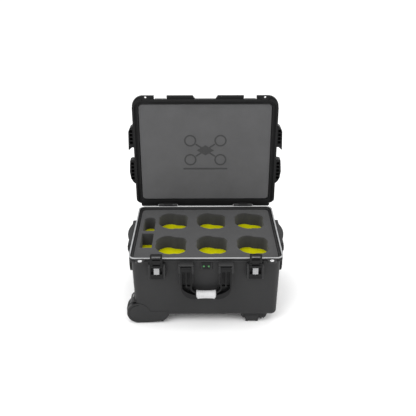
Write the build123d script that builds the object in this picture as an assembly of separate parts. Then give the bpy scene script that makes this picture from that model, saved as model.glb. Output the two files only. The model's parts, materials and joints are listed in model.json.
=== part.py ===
from build123d import *
import os

os.makedirs("parts", exist_ok=True)

# A wheeled hard carrying case for six folding drones, shown with its lid open.
# Working axes, in millimetres: X to the right, Y to the back, Z up, with the rim plane at Z = 0.
# Every piece is moved on writing, so that the origin lies on the ground under the middle of the whole object.

# ---- Overall sizes ----
GROUND = -311.0  # the floor under wheels and feet
SHIFT_Y = -24.0  # puts the middle of the open case's depth at Y = 0
RIM_X = 300.0  # half width of the base rim
RIM_Y = 236.0  # half depth of the base rim
RIM_CORNER = 28.0
OPENING_X = 285.5  # half width of the mouth inside the rim
OPENING_Y = 223.0
OPENING_CORNER = 20.0
WALL_X = 291.0  # half width of the base walls, just under the rim
WALL_Y = 229.0
WALL_CORNER = 26.0
WALL_TOP = -14.0
WALL = 5.0  # wall thickness
BASE_BOTTOM = -274.0
DRAFT = 1.5  # degrees that the walls lean inwards on the way down
BOTTOM_ROUND = 18.0
RIM_LEDGE_LOW = -17.0  # underside of the rim's lower ledge
RIM_GROOVE_LOW = -12.0  # the groove between the rim's two ledges
RIM_GROOVE_HIGH = -3.0
RIM_GROOVE_DEPTH = 3.5
LEDGE = -7.0  # the step inside the seal
STRIP_WIDTH = 6.0  # the strip that carries the seal
SEAL_WIDTH = 5.5
SEAL_HALF = 1.5  # half the seal's height, half of it sunk in the rim
PADLOCK_X = 253.0  # padlock holes, in the lid's flange and in the base's tabs
PADLOCK_Y = -252.5
EYELET_R = 5.8  # outside of the metal eyelet
EYELET_FLANGE_R = 8.0
EYELET_HOLE_R = 4.5
PADLOCK_TAB_LOW = -9.0
PADLOCK_TAB_HIGH = -2.0
VENT_X = (-8.5, 10.5)  # the two windows of the pressure valve
VENT_Z = -36.0
VENT_WINDOW_R = 4.0

# ---- Lid, described closed; it is turned open about the hinge when it is written ----
LID_X = 311.0  # half width of the flange
LID_FRONT = -260.0  # front edge of the guards
LID_NOTCH = -244.0  # front edge where the latches reach over
LID_BACK = 236.0
LID_BODY_X = 297.0
LID_BODY_Y = 234.0
LID_TOP = 66.0
LID_CAVITY_X = 286.5
LID_CAVITY_Y = 221.5
LID_CAVITY_MIDDLE = -3.0  # the cavity and its foam lie a little to the front
LID_CAVITY_CORNER = 17.0
LID_FOAM_GAP = 1.5  # between the foam and the cavity's walls
FLANGE_LOW = 0.5
FLANGE_HIGH = 12.5
SKIRT_LOW = -9.0
HINGE_Y = 247.0
HINGE_Z = 2.0
HINGE_X = 170.0  # middle of each hinge
KNUCKLE_R = 8.0
HINGE_PIN_R = 3.0
LID_PADLOCK_R = 4.8
FLANGE_CORNER = 46.0
KNUCKLE_HALF = 21.5  # half width of the lid's knuckle
BASE_KNUCKLE_X = 32.0  # middle of each base knuckle, from the hinge's middle
BASE_KNUCKLE_HALF = 10.0

# ---- Foam ----
FOAM_X = 284.0
FOAM_Y = 221.0
FOAM_TOP = -10.0
FOAM_CORNER = 20.0
POCKET_FLOOR = -65.0
CONTRAST_LOW = -80.0
DRONE_POCKET_X = (-141.0, 24.0, 189.0)
DRONE_POCKET_Y = (-108.0, 108.0)
BATTERY_POCKET_X = -242.0
BATTERY_POCKET_HALF = 24.5
# A drone pocket's outline from its middle: four lobes for the arms with slight waists between them
DRONE_OUTLINE = ((64, 30), (53, 54), (34, 63), (14, 66), (-8, 76), (-30, 74), (-50, 58), (-62, 32),
                 (-61, 8), (-62, -18), (-50, -46), (-28, -66), (-4, -74), (14, -70), (34, -71), (54, -58),
                 (62, -36), (60, -3))

# ---- Latches ----
LATCH_X = 190.0
LATCH_HALF = 24.3  # half width of the lever
LATCH_PIVOT = (-250.0, -70.0)  # Y, Z of the lever's pin
CLAW_PIVOT = (-254.0, -14.0)  # Y, Z of the claw's pin
LATCH_PIN_R = 2.5
CLAW_PIN_R = 2.25
CLAW_HALF = 23.5
CLAW_TOP = 30.0
BUTTON_HALF = 10.5
CLAW_WINDOW = (14.0, 25.0)  # Z of the opening that the lid's lip sits in
SPRING_Y = -257.5

# ---- Carrying handles: one design, on the front and on both ends ----
HANDLE_PIVOT = (-251.0, -36.0)
ARM_IN = 56.0
ARM_OUT = 98.0
ARM_FRONT = -262.0
ARM_BACK = -240.0
GRIP_Y = -252.0
GRIP_Z = -153.0
GRIP_HALF = 39.0
LUG_FRONT = -264.0
HANDLE_PIN_R = 3.0
HANDLE_CORE_R = 9.0
GUARD_HALF = 134.0  # half length of the guard over an end handle
GUARD_FRONT = -272.0
GUARD_LOW = -22.0
GUARD_HIGH = -15.0
SIDE_HANDLE_Y = 20.0  # middle of the end handles, a little behind the middle
SIDE_SHIFT = 56.0  # how much further out they lie than the front one

# ---- Wheels, at the left end ----
WHEEL_X = -273.0
WHEEL_R = 50.0
WHEEL_Z = GROUND + WHEEL_R
WHEEL_Y = 183.0
WHEEL_HALF = 17.0
AXLE_R = 5.0
CHEEK_R = 46.5
CHEEK_PROUD = 1.2  # how far the wheel's cheek stands out of the front wall
CHEEK_GROOVE_R = (36.0, 38.5)
CHEEK_GROOVE_Y = -221.8
TYRE_INNER_R = 39.0
HUB_BORE_R = 7.0
BEARING_R = 11.0
BEARING_HALF = 3.5
WELL_R = 56.0
WELL_IN = 150.0  # inner end of the wheel well
WELL_OUT = 207.0
WELL_WALL = 4.5
AXLE_END = 216.0  # blind outer end of the axle's bores

# ---- Feet, at the right end ----
FOOT_X = 193.5
FOOT_OUT = 213.0
FOOT_IN = 152.0
FOOT_BLOCK_X = FOOT_X - 7.0  # the deeper middle block, off the lobes' middle
SKID_PAD_X = (-218.0, -180.0)
SCREW_R = 2.5
PAD_R = 5.5
PAD_Y = -206.0
BLOCK_PAD_X = (FOOT_BLOCK_X - 20.0, FOOT_BLOCK_X + 20.0)
BLOCK_PAD_TOP = -300.0
SKID_PAD_TOP = -295.0
FOOT_SCREW_X = (FOOT_X - 40.0, FOOT_X + 40.0)
FOOT_SCREW_Y = -180.0

# ---- Pull handle, in the underside ----
TUBE_Y = 70.0
TUBE_Z = -288.5
OUTER_R = 10.5
STAGE1_R = 9.2
STAGE2_R = 7.9
TUBE_WALL = 1.25
TUBE_LEFT = -190.0
TUBE_LENGTH = 424.0
BRACKET_X = ((-190.0, -160.0), (204.0, 232.0))  # inner and outer bracket
BRACKET_SCREW_Y = (-44.0, 0.0, 44.0)
SCREW_HEAD_R = 4.5

RUNNING = 0.05  # radial clearance of every turning or sliding fit


def block(x0, x1, y0, y1, z0, z1):
    """A box given by its six faces."""
    return Pos((x0 + x1) / 2, (y0 + y1) / 2, (z0 + z1) / 2) * Box(x1 - x0, y1 - y0, z1 - z0)


def rod_x(x0, x1, y, z, radius):
    return Pos((x0 + x1) / 2, y, z) * Rot(0, 90, 0) * Cylinder(radius, x1 - x0)


def rod_y(x, y0, y1, z, radius):
    return Pos(x, (y0 + y1) / 2, z) * Rot(90, 0, 0) * Cylinder(radius, y1 - y0)


def rod_z(x, y, z0, z1, radius):
    return Pos(x, y, (z0 + z1) / 2) * Cylinder(radius, z1 - z0)


def slab(half_x, half_y, corner, z0, z1):
    """An upright prism on a rounded rectangle about the Z axis."""
    outline = Plane.XY.offset(z0) * RectangleRounded(2 * half_x, 2 * half_y, corner)
    return extrude(outline, amount=z1 - z0)


def tub(half_x, half_y, corner, top, bottom, rounding):
    """A rounded block that narrows downwards with the walls' draft, with a rounded bottom edge."""
    outline = Plane.XY.offset(top) * RectangleRounded(2 * half_x, 2 * half_y, corner)
    solid = extrude(outline, amount=top - bottom, dir=(0, 0, -1), taper=DRAFT)
    return fillet(solid.edges().group_by(Axis.Z)[0], rounding)


def xz_prism(points, y0, y1):
    """A prism along Y on a polygon of (x, z) points."""
    face = Plane.XZ.offset(-y0) * make_face(Polyline(*points, close=True))
    return extrude(face, amount=y1 - y0, dir=(0, 1, 0))


def both_sides(shape):
    """The shape and its mirror image in the YZ plane."""
    return shape + mirror(shape, about=Plane.YZ)


def both_ends(shape):
    """The shape and its mirror image in the XZ plane."""
    return shape + mirror(shape, about=Plane.XZ)


def to_side(shape, side):
    """Carries a shape from the front wall to the right (side 1) or left (side -1) end wall."""
    return Pos(side * SIDE_SHIFT, SIDE_HANDLE_Y, 0) * Rot(0, 0, 90 * side) * shape


def write(name, shape):
    solids = shape.solids()
    whole = solids[0] if len(solids) == 1 else Compound(children=solids)
    export_step(whole.moved(Location((0, SHIFT_Y, -GROUND))), f"parts/{name}.step")


def write_lid(name, shape):
    """Writes a lid piece turned open by a quarter turn about the hinge."""
    hinge = Pos(0, HINGE_Y, HINGE_Z)
    write(name, hinge * Rot(-90, 0, 0) * Pos(0, -HINGE_Y, -HINGE_Z) * shape)


# ---- Base shell ----
def seal_ring(z0, z1):
    """The ring that the rim seal takes up, between two heights."""
    inner = slab(RIM_X - SEAL_WIDTH, RIM_Y - SEAL_WIDTH, RIM_CORNER - SEAL_WIDTH, z0, z1)
    return slab(RIM_X, RIM_Y, RIM_CORNER, z0, z1) - inner


def envelope():
    return tub(WALL_X, WALL_Y, WALL_CORNER, WALL_TOP, BASE_BOTTOM, BOTTOM_ROUND)


def wheel_well(radius, inner, outer):
    return both_ends(rod_y(WHEEL_X, -outer, -inner, WHEEL_Z, radius))


def handle_bosses():
    """The raised pads and lugs that carry one handle, on the front wall."""
    pad = block(50, 106, -238.5, -214, -130, WALL_TOP)
    pad = chamfer(pad.edges().filter_by(Axis.Y).group_by(Axis.Z)[0], 12)
    pad = fillet(pad.edges().filter_by(Axis.Z).group_by(Axis.Y)[0], 3)
    lugs = Part()
    for x0, x1 in ((48.5, ARM_IN - 0.6), (ARM_OUT + 0.6, 106.0)):
        lug = block(x0, x1, LUG_FRONT, -225, -54, -20)
        lug = fillet(lug.edges().filter_by(Axis.X).group_by(Axis.Y)[0], 9)
        lugs += lug
    cap = block(48.5, 106, ARM_FRONT, -225, GUARD_LOW, GUARD_HIGH)
    cap = fillet(cap.edges().filter_by(Axis.X).group_by(Axis.Y)[0], 3)
    bore = rod_x(45, 110, *HANDLE_PIVOT, HANDLE_PIN_R)
    return both_sides(pad + lugs + cap - bore)


def end_guard():
    """The bowed shelf over an end handle, with gussets under its tips, in its place on the front wall."""
    bow = ThreePointArc((-GUARD_HALF, -226), (0, GUARD_FRONT), (GUARD_HALF, -226))
    face = make_face(Wire([bow, Line((GUARD_HALF, -226), (-GUARD_HALF, -226))]))
    guard = extrude(Plane.XY.offset(GUARD_LOW) * face, amount=GUARD_HIGH - GUARD_LOW)
    for x in (111, 119):
        corners = ((-226, GUARD_LOW + 1), (-226, -62), (-236, GUARD_LOW + 1))
        gusset = Plane.YZ.offset(x) * make_face(Polyline(*corners, close=True))
        guard += both_sides(extrude(gusset, amount=3, dir=(1, 0, 0)))
    return guard


def latch_mount():
    """The seat and the two lugs of the right latch."""
    seat = block(LATCH_X - 26, LATCH_X + 26, -238, -218, -62, -20)
    solids = chamfer(seat.edges().filter_by(Axis.X).group_by(Axis.Y)[0], 4)
    for side in (-1, 1):
        near = LATCH_X + side * (LATCH_HALF + 0.7)
        far = LATCH_X + side * 32.5
        lug = block(min(near, far), max(near, far), -260, -218, -84, -20)
        front = lug.edges().filter_by(Axis.X).group_by(Axis.Y)[0]
        solids += chamfer(front, 9)
    return solids - rod_x(LATCH_X - 40, LATCH_X + 40, *LATCH_PIVOT, LATCH_PIN_R)


def hinge_lugs():
    """Base knuckles of the right hinge."""
    solids = Part()
    for side in (-1, 1):
        x0 = HINGE_X + side * BASE_KNUCKLE_X - BASE_KNUCKLE_HALF
        x1 = x0 + 2 * BASE_KNUCKLE_HALF
        solids += rod_x(x0, x1, HINGE_Y, HINGE_Z, KNUCKLE_R)
        web = Plane.YZ.offset(x0) * make_face(
            Polyline((225, -16), (225, -48), (HINGE_Y + 4, -10), (HINGE_Y + 8, 2), (HINGE_Y - 8, 2),
                     (HINGE_Y - 8, -16), close=True))
        solids += extrude(web, amount=x1 - x0, dir=(1, 0, 0))
    return solids - rod_x(HINGE_X - 60, HINGE_X + 60, HINGE_Y, HINGE_Z, HINGE_PIN_R)


def padlock_tab():
    """The tab beside each latch that holds a metal eyelet."""
    tab = block(PADLOCK_X - 17, PADLOCK_X + 17, -262, -228, PADLOCK_TAB_LOW, PADLOCK_TAB_HIGH)
    tab = fillet(tab.edges().filter_by(Axis.Z).group_by(Axis.Y)[0], 12)
    return tab - rod_z(PADLOCK_X, PADLOCK_Y, PADLOCK_TAB_LOW - 1, PADLOCK_TAB_HIGH + 1, EYELET_R)


def padlock_eyelet():
    eyelet = rod_z(PADLOCK_X, PADLOCK_Y, PADLOCK_TAB_LOW, PADLOCK_TAB_HIGH, EYELET_R)
    eyelet += rod_z(PADLOCK_X, PADLOCK_Y, PADLOCK_TAB_LOW - 0.8, PADLOCK_TAB_LOW, EYELET_FLANGE_R)
    eyelet += rod_z(PADLOCK_X, PADLOCK_Y, PADLOCK_TAB_HIGH, PADLOCK_TAB_HIGH + 0.6, EYELET_FLANGE_R)
    return eyelet - rod_z(PADLOCK_X, PADLOCK_Y, PADLOCK_TAB_LOW - 2, PADLOCK_TAB_HIGH + 2, EYELET_HOLE_R)


def base_shell():
    """The base's rim with its seal seat, the walls, and everything moulded onto them."""
    rim = slab(RIM_X, RIM_Y, RIM_CORNER, RIM_GROOVE_HIGH, 0)
    depth = RIM_GROOVE_DEPTH
    rim += slab(RIM_X - depth, RIM_Y - depth, RIM_CORNER - depth, RIM_GROOVE_LOW, RIM_GROOVE_HIGH)
    rim += slab(RIM_X - 1, RIM_Y, RIM_CORNER, RIM_LEDGE_LOW, RIM_GROOVE_LOW)
    rim -= seal_ring(-SEAL_HALF, 1)
    rim -= slab(RIM_X - STRIP_WIDTH, RIM_Y - STRIP_WIDTH, RIM_CORNER - STRIP_WIDTH, LEDGE, 1)
    bead = STRIP_WIDTH + 3
    rim += slab(RIM_X - bead, RIM_Y - bead, RIM_CORNER - bead, LEDGE, LEDGE + 1.5)
    rim -= slab(RIM_X - bead - 1.6, RIM_Y - bead - 1.6, RIM_CORNER - bead - 1.6, LEDGE, LEDGE + 2)
    shell = rim + envelope()
    shell += handle_bosses()
    shell += to_side(handle_bosses() + end_guard(), 1)
    shell += to_side(handle_bosses() + end_guard(), -1)
    shell += both_sides(latch_mount() + hinge_lugs() + padlock_tab())
    vent_pad = block(-24, 26, -231, -218, -52, -18)
    shell += chamfer(vent_pad.edges().group_by(Axis.Y)[0], 2)
    mouth = slab(OPENING_X, OPENING_Y, OPENING_CORNER, -30, 1)
    cavity = tub(WALL_X - WALL, WALL_Y - WALL, WALL_CORNER - WALL, WALL_TOP, BASE_BOTTOM + WALL,
                 BOTTOM_ROUND - WALL)
    liner = wheel_well(WELL_R + WELL_WALL, WELL_IN - 6, WELL_OUT + WELL_WALL) & envelope()
    shell = shell - mouth - (cavity - liner)
    shell -= wheel_well(WELL_R, WELL_IN, WELL_OUT)
    shell -= both_ends(rod_y(WHEEL_X, -AXLE_END, -WELL_IN + 4, WHEEL_Z, AXLE_R))
    for x in (-80, 0, 80):
        channel = block(x - 12, x + 12, -120, 120, BASE_BOTTOM - 1, BASE_BOTTOM + 2)
        shell -= fillet(channel.edges().filter_by(Axis.Z), 6)
    return shell


def vent_windows(front):
    """The two round windows, from a front face back to the floor of their seats."""
    left, right = (rod_y(x, front, -232.5, VENT_Z, VENT_WINDOW_R) for x in VENT_X)
    return left + right


def vent_plate():
    """The pressure valve's tapered plate, with a seat for each window."""
    plate = xz_prism(((-18, -21), (20, -21), (14, -49), (-12, -49)), -234, -231)
    return plate - vent_windows(-240)


def rim_seal():
    ring = seal_ring(-SEAL_HALF, SEAL_HALF)
    return chamfer(ring.edges().group_by(Axis.Z)[-1], 0.8)


# ---- Lid ----
def bumper(points, rounding, rib_y):
    """A ribbed bumper on the lid's right side, hollow from below between its ribs."""
    outline = fillet(make_face(Polyline(*points, close=True)).vertices().filter_by(
        lambda v: v.X > 318), rounding)
    body = extrude(Plane.XY.offset(1) * outline, amount=37)
    for y in rib_y:
        pocket = block(315, 328, y - 6.5, y + 6.5, 0, 24)
        body -= fillet(pocket.edges().filter_by(Axis.Z), 2.5)
    return body


def lid_cavity_outline(z, inset):
    half_x, half_y = LID_CAVITY_X - inset, LID_CAVITY_Y - inset
    return Pos(0, LID_CAVITY_MIDDLE, z) * RectangleRounded(2 * half_x, 2 * half_y, LID_CAVITY_CORNER - inset)


def lid_flange():
    outline = Pos(0, (LID_FRONT + LID_BACK) / 2) * Rectangle(2 * LID_X, LID_BACK - LID_FRONT)
    front = outline.vertices().group_by(Axis.Y)[0]
    outline = fillet(front, FLANGE_CORNER)
    outline = fillet(outline.vertices().group_by(Axis.Y)[-1], 22)
    flange = extrude(Plane.XY.offset(FLANGE_LOW) * outline, amount=FLANGE_HIGH - FLANGE_LOW)
    recess = Plane.XY.offset(-5) * make_face(
        Polyline((-54, LID_FRONT - 1), (-43, LID_NOTCH - 2), (43, LID_NOTCH - 2), (54, LID_FRONT - 1),
                 close=True))
    flange -= extrude(recess, amount=30)
    flange -= both_sides(block(LATCH_X - 27, LATCH_X + 27, LID_FRONT - 1, LID_NOTCH, -1, 14))
    flange -= both_sides(rod_z(PADLOCK_X, PADLOCK_Y, -1, 14, LID_PADLOCK_R))
    return flange


def lid_skirt():
    ring = slab(LID_X, 247, 40, SKIRT_LOW, FLANGE_LOW) - slab(RIM_X + 2, 238, 30, SKIRT_LOW - 1, 1)
    ring -= both_sides(block(PADLOCK_X - 19, PADLOCK_X + 19, -262, -230, SKIRT_LOW - 1, FLANGE_LOW))
    return ring - block(-320, 320, 222, 260, -20, 5)


def lid_shell():
    shell = lid_flange() + lid_skirt()
    body = Plane.XY.offset(FLANGE_HIGH) * RectangleRounded(2 * LID_BODY_X, 2 * LID_BODY_Y, 34)
    body = extrude(body, amount=LID_TOP - FLANGE_HIGH, taper=4)
    shell += fillet(body.edges().group_by(Axis.Z)[-1], 12)
    apron = block(-292, 292, 220, HINGE_Y + 9, HINGE_Z + 9, 20)
    shell += fillet(apron.edges().filter_by(Axis.Z).group_by(Axis.Y)[-1], 8)
    left, right = HINGE_X - KNUCKLE_HALF, HINGE_X + KNUCKLE_HALF
    knuckle = rod_x(left, right, HINGE_Y, HINGE_Z, KNUCKLE_R)
    knuckle += block(left, right, 232, HINGE_Y + KNUCKLE_R, HINGE_Z, 14)
    shell += both_sides(knuckle)
    shell += both_sides(block(LATCH_X - 24, LATCH_X + 24, LID_NOTCH, -240, 10, 21))
    upper = ((309, -131), (325, -120), (333, -102), (335.5, -17), (320, -31), (309, -31))
    lower = ((309, 34), (320, 26), (332, 30), (336, 82), (332, 114), (322, 132), (309, 143))
    shell += both_sides(bumper(upper, 1.5, (-104, -87, -70, -53)))
    shell += both_sides(bumper(lower, 3, (45, 62, 79, 96, 113)))
    shell -= slab(RIM_X + 2, 238, 30, FLANGE_LOW - 1, 3.5) - slab(RIM_X - 8, 228, 22, 0, 4)
    shell -= extrude(lid_cavity_outline(-1, 0), amount=LID_TOP - WALL + 1, taper=1)
    shell -= both_sides(rod_x(HINGE_X - 30, HINGE_X + 30, HINGE_Y, HINGE_Z, HINGE_PIN_R + RUNNING))
    for x in (-150, 0, 150):
        panel = block(x - 55, x + 55, -170, 170, LID_TOP - 2, LID_TOP + 1)
        shell -= fillet(panel.edges().filter_by(Axis.Z), 14)
    return shell


def lid_foam():
    pad = extrude(lid_cavity_outline(4, LID_FOAM_GAP), amount=LID_TOP - WALL - 5, taper=1.1)
    return fillet(pad.edges().group_by(Axis.Z)[0], 2.5)


# ---- Foam in the base ----
def drone_outline(x, y):
    """A pocket outline with four lobes for a folded drone, turned a little clockwise."""
    corners = [(x + dx, y + dy) for dx, dy in DRONE_OUTLINE]
    return make_face(Spline(*corners, periodic=True))


def foam_tray():
    tray = slab(FOAM_X, FOAM_Y, FOAM_CORNER, POCKET_FLOOR, FOAM_TOP)
    for y in DRONE_POCKET_Y:
        for x in DRONE_POCKET_X:
            tray -= extrude(Plane.XY.offset(POCKET_FLOOR - 1) * drone_outline(x, y), amount=60)
    x0, x1 = BATTERY_POCKET_X - BATTERY_POCKET_HALF, BATTERY_POCKET_X + BATTERY_POCKET_HALF
    square = block(x0, x1, -131, -9, POCKET_FLOOR - 1, 0)
    tray -= fillet(square.edges().filter_by(Axis.Z), 5)
    arched = block(x0, x1, 16, 117, POCKET_FLOOR - 1, 0)
    arched += rod_z(BATTERY_POCKET_X, 117, POCKET_FLOOR - 1, 0, BATTERY_POCKET_HALF)
    tray -= fillet(arched.edges().filter_by(Axis.Z).group_by(Axis.Y)[0], 5)
    return tray


def foam_contrast():
    return slab(FOAM_X - 1.5, FOAM_Y - 1.5, FOAM_CORNER, CONTRAST_LOW, POCKET_FLOOR)


def foam_filler():
    outline = Plane.XY.offset(CONTRAST_LOW) * RectangleRounded(2 * 279, 2 * 212, 18)
    filler = extrude(outline, amount=CONTRAST_LOW - BASE_BOTTOM - WALL - 1, dir=(0, 0, -1), taper=DRAFT)
    filler = fillet(filler.edges().group_by(Axis.Z)[0], 9)
    return filler - wheel_well(WELL_R + 6, WELL_IN - 8, 230)


# ---- Latch: pieces of the right one; the left one is its mirror image ----
def latch_lever():
    lever = block(LATCH_X - LATCH_HALF, LATCH_X + LATCH_HALF, -262, -247, -80, -19)
    lever = fillet(lever.edges().filter_by(Axis.X).group_by(Axis.Z)[0], 6)
    lever = fillet(lever.edges().filter_by(Axis.Z).group_by(Axis.Y)[0], 2)
    for side in (-1, 1):
        x0 = LATCH_X + side * 14.4
        x1 = LATCH_X + side * LATCH_HALF
        lever += rod_x(min(x0, x1), max(x0, x1), *CLAW_PIVOT, 6)
        lever += block(min(x0, x1), max(x0, x1), -260, -248, -24, -14)
    lever -= block(LATCH_X - 21.5, LATCH_X + 21.5, -270, -254, -56, -27)
    for side in (-1, 1):
        x = LATCH_X + side * 17.25
        lever -= block(x - 4, x + 4, -270, -249.5, -55, -28)
    lever -= block(LATCH_X - BUTTON_HALF - 0.3, LATCH_X + BUTTON_HALF + 0.3, -270, -254, -60, -27)
    lever -= rod_z(LATCH_X, SPRING_Y, -68, -59, 2.8)
    lever -= block(LATCH_X - 20, LATCH_X + 20, -270, -260.8, -78, -63)
    lever += block(LATCH_X - 16, LATCH_X + 16, -261.6, -260, -76, -72)
    lever += block(LATCH_X - 16, LATCH_X + 16, -261.6, -260, -69, -65)
    lever -= rod_x(LATCH_X - 40, LATCH_X + 40, *LATCH_PIVOT, LATCH_PIN_R + RUNNING)
    lever -= rod_x(LATCH_X - 40, LATCH_X + 40, *CLAW_PIVOT, CLAW_PIN_R)
    return lever


def latch_claw():
    y, z = CLAW_PIVOT
    left, right = LATCH_X - CLAW_HALF, LATCH_X + CLAW_HALF
    claw = block(left, right, -262, -255.5, -6.5, CLAW_TOP)
    claw += block(left, right, -262, -253, CLAW_WINDOW[1], CLAW_TOP)
    claw = fillet(claw.edges().filter_by(Axis.Y).group_by(Axis.Z)[-1], 3.5)
    claw = fillet(claw.edges().filter_by(Axis.X).group_by(Axis.Z)[-1].group_by(Axis.Y)[0], 2)
    claw += block(LATCH_X - 13.9, LATCH_X + 13.9, -259, -251, z, -6)
    claw += rod_x(LATCH_X - 13.9, LATCH_X + 13.9, y, z, 4.8)
    claw -= block(LATCH_X - 17, LATCH_X + 17, -270, -250, *CLAW_WINDOW)
    claw -= block(LATCH_X - 16, LATCH_X + 16, -270, -257.5, 5, 10.5)
    claw -= rod_x(LATCH_X - 30, LATCH_X + 30, y, z, CLAW_PIN_R + RUNNING)
    return claw


def latch_button():
    button = block(LATCH_X - BUTTON_HALF, LATCH_X + BUTTON_HALF, -264.5, -254.3, -55, -29)
    button = fillet(button.edges().filter_by(Axis.Z).group_by(Axis.Y)[0], 2)
    button -= rod_x(LATCH_X - 20, LATCH_X + 20, -274, -38, 11)
    return button


def coil_spring(x, y, z0, z1, radius, wire, turns):
    """A compression spring along Z with its wire's middle on the given radius."""
    height = z1 - z0 - wire
    path = Pos(x, y, z0 + wire / 2) * Helix(pitch=height / turns, height=height, radius=radius)
    section = Plane(path @ 0, z_dir=path % 0) * Circle(wire / 2)
    return sweep(section, path=path)


# ---- Carrying handle, in its place on the front ----
def handle_frame():
    top = HANDLE_PIVOT[1]
    outer = ThreePointArc((ARM_OUT, -116), (82, -155), (GRIP_HALF, -170))
    inner = ThreePointArc((GRIP_HALF, -136), (52, -128), (ARM_IN, -112))
    outline = [
        Line((ARM_IN, top), (ARM_OUT, top)),
        Line((ARM_OUT, top), (ARM_OUT, -116)),
        outer,
        Line((GRIP_HALF, -170), (GRIP_HALF, -136)),
        inner,
        Line((ARM_IN, -112), (ARM_IN, top)),
    ]
    face = Plane.XZ.offset(-ARM_FRONT) * make_face(Wire(outline))
    arm = extrude(face, amount=ARM_BACK - ARM_FRONT, dir=(0, 1, 0))
    arm += rod_x(ARM_IN, ARM_OUT, *HANDLE_PIVOT, 11)
    for x0, x1 in ((60.5, 74), (79.5, 93)):
        slot = block(x0, x1, ARM_FRONT - 1, ARM_BACK + 1, -120, -46)
        arm -= fillet(slot.edges().filter_by(Axis.Y), 2)
    bend = ((60.5, -114), (93, -114), (93, -121), (86, -130), (72, -140), (57, -147), (42, -151), (42, -142),
            (53, -136), (59, -128))
    arm -= xz_prism(bend, ARM_FRONT - 1, ARM_FRONT + 16)
    arm -= rod_x(ARM_IN - 10, ARM_OUT + 10, *HANDLE_PIVOT, HANDLE_PIN_R + RUNNING)
    return both_sides(arm) + rod_x(-GRIP_HALF, GRIP_HALF, GRIP_Y, GRIP_Z, HANDLE_CORE_R)


def handle_grip():
    """A sleeve with a flared top edge and a narrow waist on the handle's core."""
    profile = Pos(GRIP_Y, GRIP_Z) * Ellipse(14.5, 17)
    sleeve = extrude(Plane.YZ.offset(-GRIP_HALF + 0.2) * profile, amount=2 * GRIP_HALF - 0.4)
    sleeve = fillet(sleeve.edges().filter_by(GeomType.ELLIPSE), 2)
    return sleeve - rod_x(-50, 50, GRIP_Y, GRIP_Z, HANDLE_CORE_R)


def handle_pins():
    return both_sides(rod_x(50, 104.5, *HANDLE_PIVOT, HANDLE_PIN_R))


# ---- Front wheel; the rear one is its mirror image ----
def wheel_housing():
    """The cheek beside the wheel and the skid that runs on behind it under the base, flush with the wall."""
    housing = rod_y(WHEEL_X, -226, -203, WHEEL_Z, CHEEK_R)
    skid = xz_prism(((WHEEL_X, -307), (-236, -306), (-206, -303), (-182, -300), (-168, -294), (-160, -286),
                     (-150, -270), (-150, -252), (WHEEL_X, -252)), -226, -154)
    housing += skid
    housing -= rod_y(WHEEL_X, -203, -150, WHEEL_Z, WELL_R - 2.5)
    flush = tub(WALL_X + 80, WALL_Y + CHEEK_PROUD, WALL_CORNER, WALL_TOP, GROUND, 1)
    housing &= flush
    housing -= envelope()
    inner, outer = (rod_y(WHEEL_X, -230, CHEEK_GROOVE_Y, WHEEL_Z, radius) for radius in CHEEK_GROOVE_R)
    housing -= (outer - inner) & block(WHEEL_X - 60, WHEEL_X + 3, -240, -200, GROUND, -200)
    housing -= rod_y(WHEEL_X, -AXLE_END, -100, WHEEL_Z, AXLE_R)
    for x in SKID_PAD_X:
        housing -= rod_z(x, PAD_Y, GROUND - 1, SKID_PAD_TOP, PAD_R)
    return housing


def wheel_fender():
    """The finned guard over the wheel, its fins leaning outwards."""
    fender = xz_prism(((-270, -204), (-290, -204), (-298, -208), (-305, -216), (-311, -228), (-302, -236),
                       (-270, -236)), -219, -152)
    fender -= rod_y(WHEEL_X, -230, -140, WHEEL_Z, WELL_R - 2)
    for x in (-296, -306):
        fender -= Pos(x, -185, -222) * Rot(0, 40, 0) * Box(3.2, 56, 40)
    return fender - envelope()


def wheel_tyre():
    tyre = rod_y(WHEEL_X, -WHEEL_Y - WHEEL_HALF, -WHEEL_Y + WHEEL_HALF, WHEEL_Z, WHEEL_R)
    tyre = fillet(tyre.edges().filter_by(GeomType.CIRCLE), 4)
    tyre -= rod_y(WHEEL_X, -WHEEL_Y - 30, -WHEEL_Y + 30, WHEEL_Z, TYRE_INNER_R)
    for y in (-8, 8):
        groove = rod_y(WHEEL_X, -WHEEL_Y + y - 1.5, -WHEEL_Y + y + 1.5, WHEEL_Z, WHEEL_R + 1)
        tyre -= groove - rod_y(WHEEL_X, -WHEEL_Y + y - 2, -WHEEL_Y + y + 2, WHEEL_Z, WHEEL_R - 2)
    return tyre


def wheel_hub():
    hub = rod_y(WHEEL_X, -WHEEL_Y - 14, -WHEEL_Y + 14, WHEEL_Z, TYRE_INNER_R)
    for side in (-1, 1):
        dish = rod_y(WHEEL_X, -WHEEL_Y + side * 9.5 - 5, -WHEEL_Y + side * 9.5 + 5, WHEEL_Z, 34)
        dish -= rod_y(WHEEL_X, -WHEEL_Y - 20, -WHEEL_Y + 20, WHEEL_Z, 15)
        hub -= dish
    for turn in range(6):
        rib = block(13, 36, -12, 12, -2, 2)
        hub += Pos(WHEEL_X, -WHEEL_Y, WHEEL_Z) * Rot(0, 60 * turn, 0) * rib
    hub += rod_y(WHEEL_X, -WHEEL_Y - WHEEL_HALF, -WHEEL_Y + WHEEL_HALF, WHEEL_Z, 15)
    hub -= rod_y(WHEEL_X, -WHEEL_Y - 30, -WHEEL_Y + 30, WHEEL_Z, HUB_BORE_R)
    for side in (-1, 1):
        y = -WHEEL_Y + side * (WHEEL_HALF - BEARING_HALF)
        hub -= rod_y(WHEEL_X, y - BEARING_HALF, y + BEARING_HALF, WHEEL_Z, BEARING_R)
    return hub


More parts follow.
